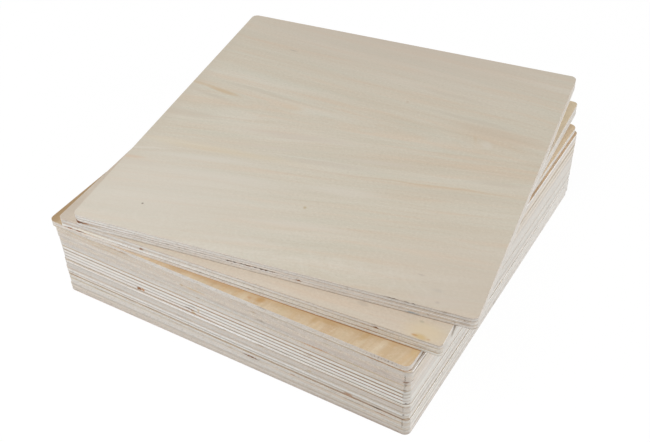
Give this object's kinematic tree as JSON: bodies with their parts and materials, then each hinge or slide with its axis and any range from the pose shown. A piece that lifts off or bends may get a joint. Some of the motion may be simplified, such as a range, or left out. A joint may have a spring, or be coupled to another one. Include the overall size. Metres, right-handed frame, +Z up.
{
  "type": "stack of plywood sheets",
  "caption": "Stack of square plywood sheets of mixed thickness with rounded corners, squared up below and fanned out at the top.",
  "frame": {"origin": "centre of the underside of the bottom sheet", "axes": "+Z up through the stack; the bottom sheet's edges run along X and Y, front edges face -Y, right-hand edges face +X"},
  "size_m": [0.34, 0.34, 0.0917],
  "materials": {
    "cream_board": "sanded bare light veneer, matt",
    "golden_board": "sanded bare golden yellow veneer, matt",
    "pinkish_board": "bare sawn edge, pale pinkish plies",
    "greyish_board": "bare sawn edge, greyish plies",
    "whitish_board": "bare sawn edge, whitish and brown plies"
  },
  "bodies": {
    "root": {"sheet_01_bottom": "greyish_board", "sheet_02": "greyish_board", "sheet_03": "whitish_board", "sheet_04": "greyish_board", "sheet_05": "whitish_board", "sheet_06": "pinkish_board", "sheet_07": "pinkish_board", "sheet_08_golden": "golden_board", "sheet_09_upper": "cream_board", "sheet_10_top": "cream_board"}
  },
  "joints": []
}
